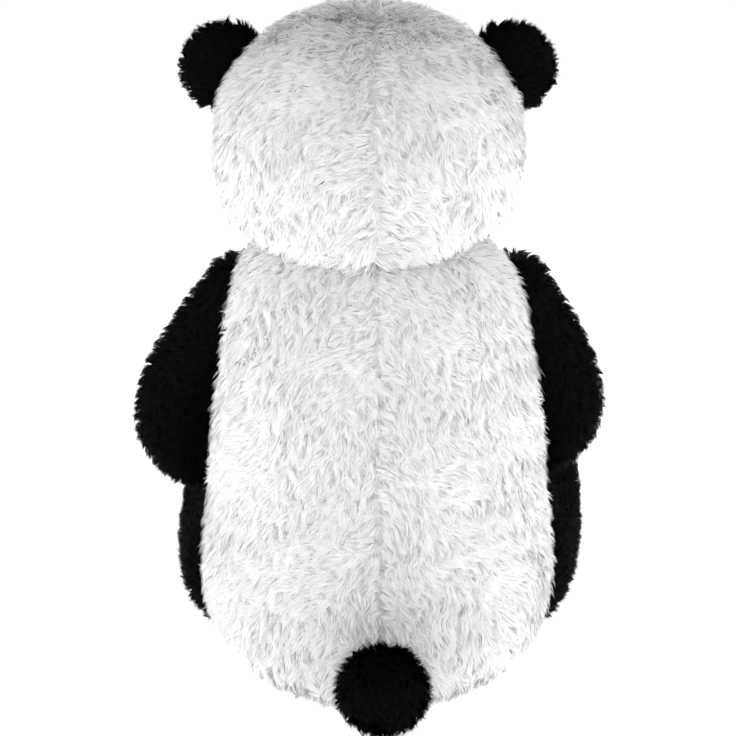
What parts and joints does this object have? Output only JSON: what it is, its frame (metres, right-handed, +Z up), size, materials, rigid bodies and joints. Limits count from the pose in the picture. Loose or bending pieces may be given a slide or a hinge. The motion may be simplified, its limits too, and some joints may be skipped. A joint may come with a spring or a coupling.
{
  "type": "plush panda",
  "caption": "Large sitting plush panda: white head and body, black ears, arms, legs and round tail, sewn panels over stuffing, soft turning limbs and head.",
  "frame": {"origin": "on the flat underside of the seat, in the plane that the toy sits on, under the middle of the neck", "axes": "+Z up along the sitting height; the face looks to -Y; +X to the toy's own left, across the arms"},
  "size_m": [0.5148, 0.6717, 0.715],
  "materials": {
    "white_plush": "long soft pile, matt",
    "black_plush": "short dense pile, matt with a faint sheen",
    "muzzle_plush": "short soft pile, matt",
    "sole_fabric": "brushed knit, matt",
    "filling": "loose fibre wadding",
    "eye_plastic": "polished",
    "nose_plastic": "satin",
    "washer_plastic": "moulded",
    "thread": "embroidery thread"
  },
  "bodies": {
    "torso": {"back_panel_left": "white_plush", "back_panel_right": "white_plush", "chest_yoke": "black_plush", "belly_panel": "white_plush", "seat_panel": "white_plush", "torso_stuffing": "filling"},
    "neck": {"neck_stuffing": "filling"},
    "head": {"head_back_left": "white_plush", "head_back_right": "white_plush", "face_panel": "white_plush", "eye_patch_left": "black_plush", "eye_patch_right": "black_plush", "eye_left": "eye_plastic", "eye_right": "eye_plastic", "eye_washer_left": "washer_plastic", "eye_washer_right": "washer_plastic", "muzzle": "muzzle_plush", "muzzle_stuffing": "filling", "nose": "nose_plastic", "nose_washer": "washer_plastic", "mouth_stitch": "thread", "lip_stitch": "thread", "head_stuffing": "filling"},
    "ear_left": {"ear_front_left": "black_plush", "ear_back_left": "black_plush", "ear_stuffing_left": "filling"},
    "ear_right": {"ear_front_right": "black_plush", "ear_back_right": "black_plush", "ear_stuffing_right": "filling"},
    "shoulder_left": {"shoulder_stuffing_left": "filling"},
    "arm_left": {"arm_outer_left": "black_plush", "arm_inner_left": "black_plush", "arm_stuffing_left": "filling"},
    "shoulder_right": {"shoulder_stuffing_right": "filling"},
    "arm_right": {"arm_outer_right": "black_plush", "arm_inner_right": "black_plush", "arm_stuffing_right": "filling"},
    "hip_left": {"hip_stuffing_left": "filling"},
    "leg_left": {"leg_top_left": "black_plush", "leg_under_left": "black_plush", "sole_left": "sole_fabric", "leg_stuffing_left": "filling"},
    "hip_right": {"hip_stuffing_right": "filling"},
    "leg_right": {"leg_top_right": "black_plush", "leg_under_right": "black_plush", "sole_right": "sole_fabric", "leg_stuffing_right": "filling"},
    "tail": {"tail_upper": "black_plush", "tail_lower": "black_plush", "tail_stuffing": "filling"}
  },
  "joints": [
    {"name": "neck_turn", "type": "hinge", "parent": "torso", "child": "neck", "pos_m": [0, 0, 0.565], "axis": [0, 0, 1], "range_deg": [-40, 40], "stiffness_Nm_per_rad": 1.5},
    {"name": "head_nod", "type": "hinge", "parent": "neck", "child": "head", "pos_m": [0, 0, 0.565], "axis": [1, 0, 0], "range_deg": [-18, 12], "stiffness_Nm_per_rad": 4},
    {"name": "ear_left_fold", "type": "hinge", "parent": "head", "child": "ear_left", "pos_m": [0.13009, -0.022, 0.63128], "axis": [0.454, 0, -0.891], "range_deg": [-22, 22], "stiffness_Nm_per_rad": 0.15},
    {"name": "ear_right_fold", "type": "hinge", "parent": "head", "child": "ear_right", "pos_m": [-0.13009, -0.022, 0.63128], "axis": [0.454, 0, 0.891], "range_deg": [-22, 22], "stiffness_Nm_per_rad": 0.15},
    {"name": "arm_left_swing", "type": "hinge", "parent": "torso", "child": "shoulder_left", "pos_m": [0.133, -0.076, 0.378], "axis": [-0.9063, 0.4226, 0], "range_deg": [-6, 75], "stiffness_Nm_per_rad": 1.2},
    {"name": "arm_left_lift", "type": "hinge", "parent": "shoulder_left", "child": "arm_left", "pos_m": [0.133, -0.076, 0.378], "axis": [-0.4226, -0.9063, 0], "range_deg": [0, 65], "stiffness_Nm_per_rad": 1.2},
    {"name": "arm_right_swing", "type": "hinge", "parent": "torso", "child": "shoulder_right", "pos_m": [-0.153, -0.076, 0.378], "axis": [-0.9063, -0.4226, 0], "range_deg": [-5, 70], "stiffness_Nm_per_rad": 1.2},
    {"name": "arm_right_lift", "type": "hinge", "parent": "shoulder_right", "child": "arm_right", "pos_m": [-0.153, -0.076, 0.378], "axis": [-0.4226, 0.9063, 0], "range_deg": [0, 65], "stiffness_Nm_per_rad": 1.2},
    {"name": "leg_left_splay", "type": "hinge", "parent": "torso", "child": "hip_left", "pos_m": [0.13, -0.066, 0.072], "axis": [0, 0.4226, 0.9063], "range_deg": [-3, 22], "stiffness_Nm_per_rad": 3},
    {"name": "leg_left_lift", "type": "hinge", "parent": "hip_left", "child": "leg_left", "pos_m": [0.13, -0.066, 0.072], "axis": [-1, 0, 0], "range_deg": [-25, 11], "stiffness_Nm_per_rad": 3},
    {"name": "leg_right_splay", "type": "hinge", "parent": "torso", "child": "hip_right", "pos_m": [-0.15, -0.066, 0.072], "axis": [0, -0.4226, -0.9063], "range_deg": [-3, 22], "stiffness_Nm_per_rad": 3},
    {"name": "leg_right_lift", "type": "hinge", "parent": "hip_right", "child": "leg_right", "pos_m": [-0.15, -0.066, 0.072], "axis": [-1, 0, 0], "range_deg": [-25, 3], "stiffness_Nm_per_rad": 3},
    {"name": "tail_wag", "type": "hinge", "parent": "torso", "child": "tail", "pos_m": [-0.015, 0.172, 0.056], "axis": [0, 0, 1], "range_deg": [-17, 17], "stiffness_Nm_per_rad": 0.3}
  ]
}
